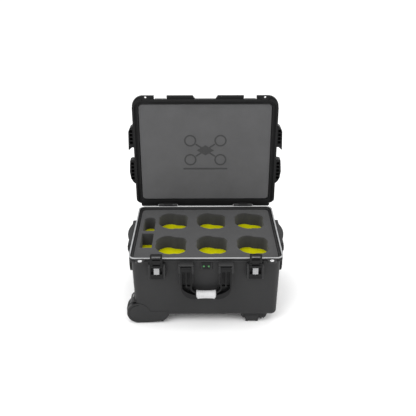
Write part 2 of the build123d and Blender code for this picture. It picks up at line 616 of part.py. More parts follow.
def wheel_bearings():
    rings = Part()
    for side in (-1, 1):
        y = -WHEEL_Y + side * (WHEEL_HALF - BEARING_HALF)
        ring = rod_y(WHEEL_X, y - BEARING_HALF, y + BEARING_HALF, WHEEL_Z, BEARING_R)
        rings += ring - rod_y(WHEEL_X, y - 5, y + 5, WHEEL_Z, AXLE_R + RUNNING)
    return rings


def wheel_axle():
    return rod_y(WHEEL_X, -AXLE_END + 0.1, -WELL_IN + 3.9, WHEEL_Z, AXLE_R)


def wheel_spacer():
    tube = rod_y(WHEEL_X, -WHEEL_Y + WHEEL_HALF + 0.4, -WELL_IN, WHEEL_Z, 8)
    return tube - rod_y(WHEEL_X, -200, -100, WHEEL_Z, AXLE_R)


# ---- Feet ----
def foot():
    """The front right foot: two side lobes and a deeper middle block."""
    lobes = xz_prism(((-54, -262), (-54, -272), (-50, -284), (-42, -293), (-32, -297), (32, -297), (42, -293),
                      (50, -284), (54, -272), (54, -262)), -FOOT_OUT, -FOOT_IN)
    for x in (-38, 24, 37):
        lobes -= block(x - 2, x + 2, -FOOT_OUT - 1, -FOOT_OUT + 5, -300, -276)
    body = Pos(FOOT_X, 0, 0) * lobes
    middle = block(FOOT_BLOCK_X - 25, FOOT_BLOCK_X + 25, -FOOT_OUT - 2, -FOOT_IN - 8, -305, -280)
    body += chamfer(middle.edges().filter_by(Axis.Y).group_by(Axis.Z)[0], 2.5)
    body -= envelope()
    for x in BLOCK_PAD_X:
        body -= rod_z(x, PAD_Y, GROUND, BLOCK_PAD_TOP, PAD_R)
    for x in FOOT_SCREW_X:
        body -= rod_z(x, FOOT_SCREW_Y, GROUND, BASE_BOTTOM + 10, SCREW_R)
    return body


def foot_pads():
    pads = Part()
    for x in BLOCK_PAD_X:
        pads += rod_z(x, PAD_Y, GROUND, BLOCK_PAD_TOP, PAD_R)
    for x in SKID_PAD_X:
        pads += rod_z(x, PAD_Y, GROUND, SKID_PAD_TOP, PAD_R)
    return both_ends(pads)


def foot_screws():
    screws = Part()
    for x in FOOT_SCREW_X:
        screws += rod_z(x, FOOT_SCREW_Y, -290, BASE_BOTTOM, SCREW_R)
    return both_ends(screws)


# ---- Pull handle ----
def tube_pair(x0, x1, radius, wall):
    tube = rod_x(x0, x1, TUBE_Y, TUBE_Z, radius) - rod_x(x0 - 1, x1 + 1, TUBE_Y, TUBE_Z, radius - wall)
    return both_ends(tube)


def pull_bracket(x0, x1):
    bar = block(x0, x1, -92, 92, -301, BASE_BOTTOM)
    bar = fillet(bar.edges().filter_by(Axis.X).group_by(Axis.Z)[0], 8)
    bar -= block(x0 - 1, x1 + 1, -52, 52, -310, -282)
    bar -= both_ends(rod_x(x0 - 1, x1 + 1, TUBE_Y, TUBE_Z, OUTER_R))
    for y in BRACKET_SCREW_Y:
        bar -= rod_z((x0 + x1) / 2, y, -290, -270, SCREW_R)
    return bar


def bracket_screws():
    screws = Part()
    for x0, x1 in BRACKET_X:
        for y in BRACKET_SCREW_Y:
            shank = rod_z((x0 + x1) / 2, y, -282, BASE_BOTTOM, SCREW_R)
            screws += shank + rod_z((x0 + x1) / 2, y, -285, -282, SCREW_HEAD_R)
    return screws


def pull_grip():
    """The pull handle's grip frame with its finger slot."""
    frame = block(242, 286, -86, 86, -300, -277)
    frame = fillet(frame.edges().filter_by(Axis.Z), 9)
    frame = fillet(frame.edges().group_by(Axis.Z)[0], 4)
    frame -= fillet(block(249, 266, -52, 52, -310, -270).edges().filter_by(Axis.Z), 5)
    frame -= both_ends(rod_x(240, 268, TUBE_Y, TUBE_Z, STAGE2_R))
    frame -= block(268.8, 290, -16, 16, -294, -283)
    return frame


def pull_button():
    button = block(272.6, 286.8, -15.7, 15.7, -293.7, -283.3)
    return fillet(button.edges().filter_by(Axis.X), 3)


# ---- Writing the pieces ----
write("base_shell", base_shell())
write("rim_seal", rim_seal())
write("foam_tray", foam_tray())
write("foam_contrast_layer", foam_contrast())
write("foam_filler", foam_filler())
write("padlock_eyelets", both_sides(padlock_eyelet()))
write("hinge_pins", both_sides(rod_x(HINGE_X - 44, HINGE_X + 44, HINGE_Y, HINGE_Z, HINGE_PIN_R)))
write("latch_pins", both_sides(rod_x(LATCH_X - 32, LATCH_X + 32, *LATCH_PIVOT, LATCH_PIN_R)))
write("vent_plate", vent_plate())
write("vent_windows", vent_windows(-235))

write_lid("lid_shell", lid_shell())
write_lid("lid_foam", lid_foam())

claw_pin = rod_x(LATCH_X - CLAW_HALF, LATCH_X + CLAW_HALF, *CLAW_PIVOT, CLAW_PIN_R)
latch_spring = coil_spring(LATCH_X, SPRING_Y, -67.9, -55.1, radius=2.1, wire=0.7, turns=6)
latch = {"lever": latch_lever(), "claw": latch_claw(), "button": latch_button(), "claw_pin": claw_pin,
         "spring": latch_spring}
for piece, shape in latch.items():
    write(f"latch_{piece}_right", shape)
    write(f"latch_{piece}_left", mirror(shape, about=Plane.YZ))

write("front_handle_frame", handle_frame())
write("front_handle_grip", handle_grip())
write("front_handle_pins", handle_pins())
for name, side in (("right", 1), ("left", -1)):
    write(f"{name}_handle_frame", to_side(handle_frame(), side))
    write(f"{name}_handle_grip", to_side(handle_grip(), side))
    write(f"{name}_handle_pins", to_side(handle_pins(), side))

wheel = {"housing": wheel_housing(), "fender": wheel_fender(), "tyre": wheel_tyre(), "hub": wheel_hub(),
         "bearings": wheel_bearings()}
for piece, shape in wheel.items():
    write(f"wheel_{piece}_front", shape)
    write(f"wheel_{piece}_rear", mirror(shape, about=Plane.XZ))
write("wheel_axles", both_ends(wheel_axle()))
write("wheel_spacers", both_ends(wheel_spacer()))

write("foot_front", foot())
write("foot_rear", mirror(foot(), about=Plane.XZ))
write("foot_pads", foot_pads())
write("foot_screws", foot_screws())

write("pull_outer_tubes", tube_pair(TUBE_LEFT, TUBE_LEFT + TUBE_LENGTH, OUTER_R, TUBE_WALL))
write("pull_bracket_inner", pull_bracket(*BRACKET_X[0]))
write("pull_bracket_outer", pull_bracket(*BRACKET_X[1]))
write("pull_stage1_tubes", tube_pair(TUBE_LEFT + 8, TUBE_LEFT + TUBE_LENGTH + 3, STAGE1_R, TUBE_WALL))
write("pull_stage2_tubes", tube_pair(TUBE_LEFT + 16, 266, STAGE2_R, TUBE_WALL))
write("pull_grip", pull_grip())
write("pull_button", pull_button())
write("bracket_screws", bracket_screws())
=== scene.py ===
"""The looks of the open drone carrying case: foam, grips, springs, sign and finishes."""
import json
import math

import bmesh
import bpy
from mathutils import Matrix, Vector, geometry, noise


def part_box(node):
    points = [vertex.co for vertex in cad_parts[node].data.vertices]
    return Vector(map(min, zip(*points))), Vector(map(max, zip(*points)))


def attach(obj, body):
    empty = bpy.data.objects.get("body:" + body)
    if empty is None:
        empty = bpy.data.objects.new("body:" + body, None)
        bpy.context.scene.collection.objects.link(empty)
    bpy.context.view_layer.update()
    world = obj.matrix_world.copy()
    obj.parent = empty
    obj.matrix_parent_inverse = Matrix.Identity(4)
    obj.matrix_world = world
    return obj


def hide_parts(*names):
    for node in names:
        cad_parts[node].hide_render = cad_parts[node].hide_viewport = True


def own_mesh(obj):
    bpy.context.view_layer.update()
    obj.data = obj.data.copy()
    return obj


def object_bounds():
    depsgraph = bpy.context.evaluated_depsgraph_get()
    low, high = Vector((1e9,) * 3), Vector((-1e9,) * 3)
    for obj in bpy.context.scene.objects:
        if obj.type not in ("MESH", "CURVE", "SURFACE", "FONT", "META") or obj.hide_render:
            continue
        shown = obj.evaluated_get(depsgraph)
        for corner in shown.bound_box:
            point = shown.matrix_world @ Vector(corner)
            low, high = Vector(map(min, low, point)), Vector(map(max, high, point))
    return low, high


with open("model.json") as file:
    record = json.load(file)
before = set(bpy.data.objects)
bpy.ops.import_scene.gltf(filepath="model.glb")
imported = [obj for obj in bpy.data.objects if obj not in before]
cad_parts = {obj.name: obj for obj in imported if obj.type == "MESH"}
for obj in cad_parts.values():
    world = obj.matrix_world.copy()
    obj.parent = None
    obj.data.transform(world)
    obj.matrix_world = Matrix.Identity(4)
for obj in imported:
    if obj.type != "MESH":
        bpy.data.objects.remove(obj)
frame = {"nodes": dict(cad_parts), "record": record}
cad_low, cad_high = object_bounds()

MM = 0.001

# Finishes, as linear colours
SHELL_BLACK = (0.017, 0.017, 0.0175)
LID_BLACK = (0.0045, 0.0045, 0.0048)
TRIM_BLACK = (0.0035, 0.0035, 0.0038)
FOAM_GREY = (0.064, 0.064, 0.066)
# The tray's foam: the same grey foam, painted darker as shade against the strong light on its open top.
TRAY_FOAM_PAINTED_SHADE = (0.036, 0.036, 0.037)
FOAM_YELLOW = (0.47, 0.455, 0.0)
SEAL_GREY = (0.32, 0.323, 0.328)
GRIP_LIGHT = (0.46, 0.46, 0.465)
BUTTON_GREY = (0.27, 0.272, 0.276)
STEEL = (0.60, 0.60, 0.62)
ZINC = (0.95, 0.95, 0.96)
ALUMINIUM = (0.42, 0.43, 0.45)
WINDOW_GREEN = (0.003, 0.13, 0.015)
RUBBER = (0.018, 0.018, 0.018)

QUARTERS = ((1, 1), (-1, 1), (-1, -1), (1, -1))  # the signs of x and y in each quarter, anticlockwise

# The pockets of the tray foam, in millimetres from the tray's middle
POCKET_OUTLINE = (
    (64, 30), (53, 54), (34, 63), (14, 66), (-8, 76), (-30, 74), (-50, 58), (-62, 32), (-61, 8),
    (-62, -18), (-50, -46), (-28, -66), (-4, -74), (14, -70), (34, -71), (54, -58), (62, -36), (60, -3),
)
POCKET_X = (-141, 24, 189)
POCKET_Y = (-108, 108)
SMALL_POCKET_X = -242
SMALL_POCKET_HALF = 24.5
SMALL_POCKET_CORNER = 5
FRONT_POCKET_Y, FRONT_POCKET_HALF_Y = -70, 61
BACK_POCKET_Y, BACK_POCKET_HALF_Y = 66.5, 50.5
BACK_POCKET_ARCH_Y = 117

# The foam blocks, in millimetres
SHEET_CORNER = 20  # the tray's and the contrast layer's
FILLER_CORNER = 18
LID_PAD_CORNER = 15
LID_PAD_CROWN = 1.6
SHEET_GAP = 0.4  # beside the tray and the contrast layer
BLOCK_GAP = 0.5  # beside the filler and the lid's pad
WELL_GAP = 12.5  # between a tyre and the filler
WELL_HALF = 46
WELL_SHIFT = 4.5  # towards the outside

# The sign on the lid's pad, in millimetres from the pad's middle
SIGN_UP = 14
SIGN_SPREAD_X, SIGN_SPREAD_Y = 66, 44  # to the rotors
SIGN_ROTOR = 27
SIGN_LINE = 7
SIGN_HUB_X, SIGN_HUB_Y = 38, 24
SIGN_BAR_Y, SIGN_BAR_HALF = -72, 98
SIGN_FACE = 1.9  # over the pad's thickness, which its crown adds to
SIGN_DEPTH = 1.2
SIGN_RISE = 0.25
SIGN_EDGE = 0.25

# A handle's grip, in millimetres
GRIP_HALF_Y, GRIP_HALF_Z = 14.2, 16.6
GRIP_BORE = 9.05
GRIP_SLANT = 3.0
GRIP_FLARE = 1.0
GRIP_WAIST = 1.4
GRIP_RIDGE = 0.3
GRIP_RIDGES = 9
GRIP_LIP = 1.6
GRIP_END_FROM, GRIP_END_LENGTH = 0.80, 0.20  # of half the grip, as are the lip's
GRIP_LIP_FROM, GRIP_LIP_LENGTH = 0.965, 0.035

# A latch button's spring
COIL_WIRE = 0.35 * MM  # the wire's radius
COIL_TURNS = 6

# The studio, in metres and watts
FLOOR_RADIUS = 60
PAPER = (0.92, 0.92, 0.92)
WORLD_STRENGTH = 1.12
AIM = (0, 0, 0.3)
SOFTBOXES = (  # name, place, side, power
    ("key", (-1.6, -2.2, 2.9), 2.2, 55),
    ("fill", (2.4, -1.6, 1.8), 1.8, 18),
    ("top", (0, 0.4, 3.2), 2.5, 30),
)
CAMERA_PLACE = (-0.009, -2.283, 1.480)
CAMERA_DOWN, CAMERA_TURN = 25.26, -0.47  # degrees
CAMERA_LENS, CAMERA_SENSOR = 52.41, 36  # millimetres


# ---- Materials ----
MIX_FIRST, MIX_SECOND, MIX_RESULT = 6, 7, 2  # the colour sockets of a Mix node


class Finish:
    """A procedural material under construction: a Principled shader, and nodes added by name."""

    def __init__(self, name, colour, roughness, **constants):
        self.material = bpy.data.materials.new(name)
        self.material.use_nodes = True
        self.tree = self.material.node_tree
        self.shader = self.tree.nodes["Principled BSDF"]
        self.set(self.shader, {"Base Color": (*colour, 1), "Roughness": roughness, **constants})
        self.coordinates = self.tree.nodes.new("ShaderNodeTexCoord").outputs["Object"]

    def set(self, node, values):
        """Sets a node's inputs: a socket is linked, anything else is a constant."""
        for key, value in values.items():
            if isinstance(value, bpy.types.NodeSocket):
                self.tree.links.new(value, node.inputs[key])
            else:
                node.inputs[key].default_value = value

    def node(self, kind, inputs=None, **settings):
        made = self.tree.nodes.new("ShaderNode" + kind)
        for key, value in settings.items():
            setattr(made, key, value)
        self.set(made, inputs or {})
        return made

    def stretched(self, scale):
        """Object coordinates scaled along each axis."""
        inputs = {"Vector": self.coordinates, "Scale": scale}
        return self.node("Mapping", inputs).outputs["Vector"]

    def noise(self, scale, detail=3.0, roughness=0.55, vector=None):
        inputs = {"Vector": vector or self.coordinates, "Scale": scale}
        inputs |= {"Detail": detail, "Roughness": roughness}
        return self.node("TexNoise", inputs).outputs["Fac"]

    def cells(self, scale):
        inputs = {"Vector": self.coordinates, "Scale": scale}
        return self.node("TexVoronoi", inputs).outputs["Distance"]

    def ramp(self, value, stops):
        """A ramp between two (position, grey) stops."""
        made = self.node("ValToRGB", {"Fac": value})
        for element, (position, grey) in zip(made.color_ramp.elements, stops):
            element.position = position
            element.color = (grey, grey, grey, 1)
        return made.outputs["Color"]

    def math(self, operation, first, second):
        return self.node("Math", {0: first, 1: second}, operation=operation).outputs["Value"]

    def mix(self, factor, first, second):
        made = self.node("Mix", {"Factor": factor}, data_type="RGBA")
        for socket, colour in ((made.inputs[MIX_FIRST], first), (made.inputs[MIX_SECOND], second)):
            if isinstance(colour, bpy.types.NodeSocket):
                self.tree.links.new(colour, socket)
            else:
                socket.default_value = (*colour, 1)
        return made.outputs[MIX_RESULT]

    def colour(self, value):
        self.set(self.shader, {"Base Color": value})

    def rough(self, value, low, high):
        """Roughness that follows a value from low to high."""
        inputs = {"Value": value, "To Min": low, "To Max": high}
        self.set(self.shader, {"Roughness": self.node("MapRange", inputs).outputs["Result"]})

    def bumps(self, *layers, edge=None):
        """Bump layers of (height, distance in metres, strength) over an optional rounded edge."""
        normal = edge
        for height, distance, strength in layers:
            inputs = {"Height": height, "Distance": distance, "Strength": strength}
            if normal is not None:
                inputs["Normal"] = normal
            normal = self.node("Bump", inputs).outputs["Normal"]
        self.set(self.shader, {"Normal": normal})

    def edge(self, radius):
        """A rounded edge's normal, and a mask that is 1 along the edges."""
        bevel = self.node("Bevel", {"Radius": radius}, samples=6).outputs["Normal"]
        plain = self.node("NewGeometry").outputs["Normal"]
        dot = self.node("VectorMath", {0: bevel, 1: plain}, operation="DOT_PRODUCT").outputs["Value"]
        return bevel, self.ramp(dot, ((0.80, 1.0), (0.985, 0.0)))


def shade(colour, factor):
    return tuple(min(1.0, channel * factor) for channel in colour)


def moulded_plastic(name, colour, roughness=0.52, grain=620.0, round_edge=1.1 * MM, edge_wear_and_highlight=1.7, shine=0.26):
    """Injection-moulded plastic: leather grain, faint flow marks, and edges painted lighter in patches,
    partly as worn edges and partly as a painted highlight.
    """
    made = Finish(name, colour, roughness, **{"Specular IOR Level": shine})
    normal, edges = made.edge(round_edge)
    flow = made.noise(7, detail=2, vector=made.stretched((1, 1, 0.35)))
    scuffs = made.noise(60, detail=6, roughness=0.7)
    # Edges painted lighter in patches: partly worn edges, partly a painted highlight along them.
    rubbed_and_highlit = made.math("MULTIPLY", edges, made.ramp(scuffs, ((0.38, 0.15), (0.62, 0.9))))
    tone = made.mix(made.ramp(flow, ((0.3, 0.0), (0.7, 1.0))), shade(colour, 0.90), shade(colour, 1.12))
    made.colour(made.mix(rubbed_and_highlit, tone, shade(colour, edge_wear_and_highlight)))
    pits = made.cells(grain)
    made.rough(scuffs, roughness - 0.08, roughness + 0.10)
    made.bumps((pits, 0.18 * MM, 0.55), (made.noise(grain * 2.4), 0.08 * MM, 0.35), edge=normal)
    return made.material


def foam(name, colour, sheen=0.25, shine=0.25):
    """Closed-cell foam: fine open cells at the cut faces, with painted shade in the cells, saw lines down the
    walls, and a soft sheen.
    """
    constants = {"Sheen Weight": sheen, "Sheen Roughness": 0.6, "Specular IOR Level": shine}
    made = Finish(name, colour, 0.93, **constants)
    cells = made.cells(900)
    blotches = made.noise(16, detail=3)
    streaks = made.noise(1, detail=2, vector=made.stretched((420, 420, 14)))
    tone = made.mix(made.ramp(blotches, ((0.3, 0.0), (0.7, 1.0))), shade(colour, 0.93), shade(colour, 1.07))
    # Painted shade: darker in the cells, where the bumps dip.
    pore_shade = made.ramp(cells, ((0.12, 0.0), (0.45, 1.0)))
    made.colour(made.mix(pore_shade, shade(colour, 0.72), tone))
    made.rough(cells, 0.85, 0.97)
    made.bumps((cells, 0.35 * MM, 0.7), (streaks, 0.30 * MM, 0.5), (made.noise(2400), 0.1 * MM, 0.4))
    return made.material


def rubber(name, colour, roughness=0.72, grain=900.0):
    """Soft moulded rubber or elastomer, matt, with dust-fine grain."""
    made = Finish(name, colour, roughness, **{"Specular IOR Level": 0.35})
    normal, edges = made.edge(0.8 * MM)
    smears = made.noise(35, detail=4)
    tone = made.mix(made.ramp(smears, ((0.3, 0.0), (0.7, 1.0))), shade(colour, 0.90), shade(colour, 1.08))
    # Painted highlight: the edges lighter, in patches that follow the smear noise.
    made.colour(made.mix(made.math("MULTIPLY", edges, smears), tone, shade(colour, 1.35)))
    made.rough(smears, roughness - 0.07, roughness + 0.08)
    dust = made.noise(grain, detail=4)
    made.bumps((dust, 0.15 * MM, 0.5), (made.cells(grain * 0.6), 0.08 * MM, 0.3), edge=normal)
    return made.material


def metal(name, colour, roughness, axis_scale):
    """Metal with brushed or turned lines along the axis whose scale is lowest."""
    made = Finish(name, colour, roughness, Metallic=1.0)
    normal, edges = made.edge(0.4 * MM)
    lines = made.noise(1, detail=3, vector=made.stretched(axis_scale))
    stains = made.noise(45, detail=4)
    tone = made.mix(made.ramp(stains, ((0.35, 0.0), (0.65, 1.0))), shade(colour, 0.86), shade(colour, 1.06))
    # Painted highlight: the edges lighter.
    made.colour(made.mix(edges, tone, shade(colour, 1.2)))
    made.rough(lines, roughness - 0.09, roughness + 0.12)
    made.bumps((lines, 0.05 * MM, 0.35), edge=normal)
    return made.material


def clear_window(name, colour):
    """A small glossy lens, tinted through."""
    made = Finish(name, colour, 0.12, **{"Coat Weight": 0.6, "Coat Roughness": 0.05})
    haze = made.noise(240, detail=2)
    made.colour(made.mix(haze, shade(colour, 0.75), shade(colour, 1.25)))
    made.rough(haze, 0.08, 0.2)
    made.bumps((haze, 0.05 * MM, 0.2))
    return made.material


def tread_rubber(name, colour):
    """Tyre rubber: dull, dusty in patches, with fine turning lines round the tread."""
    made = Finish(name, colour, 0.8, **{"Specular IOR Level": 0.3})
    normal, edges = made.edge(1.0 * MM)
    dust = made.noise(55, detail=5, roughness=0.65)
    dusty = made.ramp(dust, ((0.42, 0.0), (0.75, 1.0)))
    made.colour(made.mix(dusty, colour, shade(colour, 2.1)))
    made.rough(dust, 0.7, 0.92)
    lines = made.noise(1, detail=2, vector=made.stretched((60, 1500, 60)))
    made.bumps((lines, 0.15 * MM, 0.4), (made.noise(1300), 0.1 * MM, 0.5), edge=normal)
    return made.material


shell_plastic = moulded_plastic("shell_plastic", SHELL_BLACK)
lid_plastic = moulded_plastic("lid_plastic", LID_BLACK, edge_wear_and_highlight=2.6, shine=0.2)
trim_plastic = moulded_plastic(
    "trim_plastic", TRIM_BLACK, 0.42, grain=900, round_edge=0.7 * MM, edge_wear_and_highlight=2.6, shine=0.2
)
button_plastic = moulded_plastic(
    "button_plastic", BUTTON_GREY, 0.34, grain=1400, round_edge=0.8 * MM, edge_wear_and_highlight=1.15, shine=0.5
)
grip_rubber = rubber("grip_rubber", GRIP_LIGHT)
dark_rubber = rubber("dark_rubber", RUBBER)
seal_rubber = rubber("seal_rubber", SEAL_GREY, roughness=0.6, grain=500)
tyre_rubber = tread_rubber("tyre_rubber", RUBBER)
grey_foam = foam("grey_foam", FOAM_GREY)
# The same grey foam as the lid's, its colour painted darker as shade.
tray_foam_painted_shade = foam("tray_foam_painted_shade", TRAY_FOAM_PAINTED_SHADE, sheen=0.12, shine=0.15)
yellow_foam = foam("yellow_foam", FOAM_YELLOW, sheen=0.0, shine=0.08)
sign_foam = foam("mark_foam", shade(FOAM_GREY, 0.42))
pin_steel = metal("pin_steel", STEEL, 0.32, (9, 700, 700))
eyelet_zinc = metal("eyelet_zinc", ZINC, 0.5, (500, 500, 40))
tube_aluminium = metal("tube_aluminium", ALUMINIUM, 0.38, (6, 900, 900))
green_window = clear_window("green_window", WINDOW_GREEN)

BY_SLOT = {
    "shell_black": shell_plastic, "hub_black": trim_plastic, "button_grey": button_plastic,
    "grip_light": grip_rubber, "grip_dark": dark_rubber, "rubber_pad": dark_rubber,
    "seal_grey": seal_rubber, "tyre_black": tyre_rubber, "foam_grey": grey_foam,
    "foam_yellow": yellow_foam, "steel": pin_steel, "tube_aluminium": tube_aluminium,
    "window_green": green_window,
}
BY_NODE = {"lid_shell": lid_plastic, "padlock_eyelets": eyelet_zinc}
TRIM_NODES = (  # how their names start
    "latch_lever", "latch_claw", "vent_plate",
    "front_handle_frame", "left_handle_frame", "right_handle_frame",
)


def finish_nodes():
    """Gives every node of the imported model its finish."""
    for part in frame["record"]["subparts"]:
        node = frame["nodes"][part["node"]]
        trim = part["node"].startswith(TRIM_NODES)
        node.data.materials.clear()
        plain = BY_NODE.get(part["node"], BY_SLOT[part["material_slot"]])
        node.data.materials.append(trim_plastic if trim else plain)


# ---- Making pieces ----
def add_object(name, data):
    made = bpy.data.objects.new(name, data)
    bpy.context.scene.collection.objects.link(made)
    return made


def add_piece(name, mesh, material, body, slot_name, *stands_for):
    """A piece that rides on a body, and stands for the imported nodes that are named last."""
    piece = add_object(name, mesh)
    mesh.materials.clear()
    mesh.materials.append(material)
    mesh.shade_smooth()
    mesh.set_sharp_from_angle(angle=math.radians(40))
    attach(piece, body)
    if stands_for:
        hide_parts(*stands_for)
    return piece


def rounded_rectangle(half_x, half_y, radius):
    """Points round a rounded rectangle about the origin."""
    steps = 12
    points = []
    for quarter, (sx, sy) in enumerate(QUARTERS):
        for step in range(steps + 1):
            angle = math.radians(90 * quarter + 90 * step / steps)
            points.append((sx * (half_x - radius) + radius * math.cos(angle),
                           sy * (half_y - radius) + radius * math.sin(angle)))
    return points


def shifted(points, x, y):
    return [(px + x, py + y) for px, py in points]


def ring_points(radius, steps=48):
    """Points round a circle about the origin."""
    turns = [math.tau * k / steps for k in range(steps)]
    return [(radius * math.cos(turn), radius * math.sin(turn)) for turn in turns]


def smooth_outline(corners):
    """A closed curve through the corners, as points."""
    steps = 6
    points = []
    count = len(corners)
    for k in range(count):
        before, start, end, after = (Vector(corners[(k + j) % count]) for j in (-1, 0, 1, 2))
        for step in range(steps):
            t = step / steps
            bend = 2 * start + (end - before) * t + (2 * before - 5 * start + 4 * end - after) * t ** 2
            point = (bend + (3 * start - before - 3 * end + after) * t ** 3) / 2
            points.append((point.x, point.y))
    return points


def hull(points):
    """The points on the convex outline of all of them."""
    return [points[k] for k in geometry.convex_hull_2d([Vector(p) for p in points])]


def evaluated(made):
    """An object's mesh with its modifiers or its curve's thickness."""
    return bpy.data.meshes.new_from_object(made.evaluated_get(bpy.context.evaluated_depsgraph_get()))


def finished(work, name):
    """The mesh of a bmesh, with its faces turned outwards."""
    bmesh.ops.recalc_face_normals(work, faces=work.faces)
    mesh = bpy.data.meshes.new(name)
    work.to_mesh(mesh)
    work.free()
    return mesh


def join_rings(work, rings):
    """Faces between each ring of points and the next."""
    for first, second in zip(rings, rings[1:]):
        for k in range(len(first)):
            work.faces.new((first[k - 1], first[k], second[k], second[k - 1]))


def filled(outlines, low, high, edge):
    """A mesh of flat outlines in millimetres, the first outside and the rest holes, between two heights."""
    curve = bpy.data.curves.new("outline", "CURVE")
    curve.dimensions = "2D"
    curve.fill_mode = "BOTH"
    curve.extrude = (high - low) / 2 * MM - edge * MM
    curve.bevel_depth = edge * MM
    curve.bevel_resolution = 2
    curve.offset = -edge * MM
    for outline in outlines:
        spline = curve.splines.new("POLY")
        spline.points.add(len(outline) - 1)
        for point, (x, y) in zip(spline.points, outline):
            point.co = (x * MM, y * MM, 0, 1)
        spline.use_cyclic_u = True
    holder = add_object("outline", curve)
    mesh = evaluated(holder)
    bpy.data.objects.remove(holder)
    mesh.transform(Matrix.Translation((0, 0, (low + high) / 2 * MM)))
    work = bmesh.new()
    work.from_mesh(mesh)
    bpy.data.meshes.remove(mesh)
    bmesh.ops.remove_doubles(work, verts=work.verts, dist=0.01 * MM)
    return finished(work, "filled")


def evened(outline, step):
    """The outline with its long sides divided, so that none is longer than step."""
    points = []
    for k, (x0, y0) in enumerate(outline):
        x1, y1 = outline[(k + 1) % len(outline)]
        parts = max(1, math.ceil(math.hypot(x1 - x0, y1 - y0) / step))
        points += [(x0 + (x1 - x0) * j / parts, y0 + (y1 - y0) * j / parts) for j in range(parts)]
    return points


def grown(outline, distance):
    """An anticlockwise outline with every point moved outwards."""
    moved = []
    for k, (x, y) in enumerate(outline):
        (x0, y0), (x1, y1) = outline[k - 1], outline[(k + 1) % len(outline)]
        along = math.hypot(x1 - x0, y1 - y0)
        moved.append((x + (y1 - y0) / along * distance, y - (x1 - x0) / along * distance))
    return moved


def inside(outline, x, y):
    """Whether a point is inside an outline."""
    crossings = False
    for k, (x1, y1) in enumerate(outline):
        x0, y0 = outline[k - 1]
        if (y0 > y) != (y1 > y) and x < x0 + (y - y0) / (y1 - y0) * (x1 - x0):
            crossings = not crossings
    return crossings


def in_material(outer, holes, x, y):
    """Whether a point is inside the outer outline and in none of the holes."""
    return inside(outer, x, y) and not any(inside(hole, x, y) for hole in holes)


def add_cap(work, outer, holes, height, spacing):
    """A flat face of even triangles between the outer outline and the holes."""
    points, edges = [], []
    for ring in (outer, *holes):
        start = len(points)
        points += ring
        edges += [(start + k, start + (k + 1) % len(ring)) for k in range(len(ring))]
    margin = spacing * 0.45
    inner, wider = grown(outer, -margin), [grown(hole, margin) for hole in holes]
    reach_x = max(x for x, _ in outer)
    reach_y = max(y for _, y in outer)
    columns, rows = (math.ceil(2 * reach / spacing) for reach in (reach_x, reach_y))
    for column in range(1, columns):
        for row in range(1, rows):
            x = -reach_x + 2 * reach_x * (column + 0.5 * (row % 2)) / columns
            y = -reach_y + 2 * reach_y * row / rows
            if in_material(inner, wider, x, y):
                points.append((x, y))
    corners, _, faces, *_ = geometry.delaunay_2d_cdt([Vector(point) for point in points], edges, [], 1, 1e-6)
    made = [work.verts.new((x * MM, y * MM, height * MM)) for x, y in corners]
    for face in faces:
        x = sum(corners[k][0] for k in face) / len(face)
        y = sum(corners[k][1] for k in face) / len(face)
        if in_material(outer, holes, x, y):
            work.faces.new([made[k] for k in face])


def add_walls(work, outline, side, low, high, edge, step, lean):
    """The wall round an outline, outer (side 1) or of a hole (side -1), with a rounded top edge."""
    arc = 4
    levels = []
    for k in range(arc + 1):
        turn = math.pi / 2 * k / arc
        levels.append((-side * edge * (1 - math.sin(turn)), high - edge * (1 - math.cos(turn))))
    count = max(1, round((high - edge - low) / step))
    for k in range(1, count + 1):
        levels.append((-lean * k / count, high - edge - (high - edge - low) * k / count))
    rings = []
    for out, z in levels:
        rings.append([work.verts.new((x * MM, y * MM, z * MM)) for x, y in grown(outline, out)])
    join_rings(work, rings)


def foam_slab(outlines, low, high, edge, spacing, step=7, lean=0.0):
    """Cut foam between two heights, with rounded top edges and divided walls.

    The first outline is the outside and the rest are holes. The walls draw in by lean towards the bottom."""
    work = bmesh.new()
    outer, *holes = [evened(outline, step) for outline in outlines]
    add_walls(work, outer, 1, low, high, edge, step, lean)
    for hole in holes:
        add_walls(work, hole, -1, low, high, edge, step, lean)
    add_cap(work, grown(outer, -edge), [grown(hole, edge) for hole in holes], high, spacing)
    add_cap(work, grown(outer, -lean), [grown(hole, -lean) for hole in holes], low, spacing * 4)
    bmesh.ops.remove_doubles(work, verts=work.verts, dist=0.02 * MM)
    return finished(work, "foam")


def wandered(mesh, amount):
    """Moves the surface in and out a little, as a saw and loose handling leave foam."""
    for vertex in mesh.vertices:
        drift = noise.noise(vertex.co * 22) + 0.4 * noise.noise(vertex.co * 75)
        vertex.co += vertex.normal * (drift * amount * MM)
    return mesh


def cut(mesh, cutters):
    """The mesh with the cutters' volumes taken away."""
    holder = add_object("cut", mesh)
    tools = [add_object("cutter", cutter) for cutter in cutters]
    for tool in tools:
        holder.modifiers.new("cut", "BOOLEAN").object = tool
    made = evaluated(holder)
    for used in (holder, *tools):
        bpy.data.objects.remove(used)
    return made


def place(mesh, matrix):
    """Moves a mesh, and gives it back."""
    mesh.transform(matrix)
    return mesh


# ---- Foam ----
def node_middle(node):
    """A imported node's middle and size."""
    low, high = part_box(node)
    return (low + high) / 2, high - low


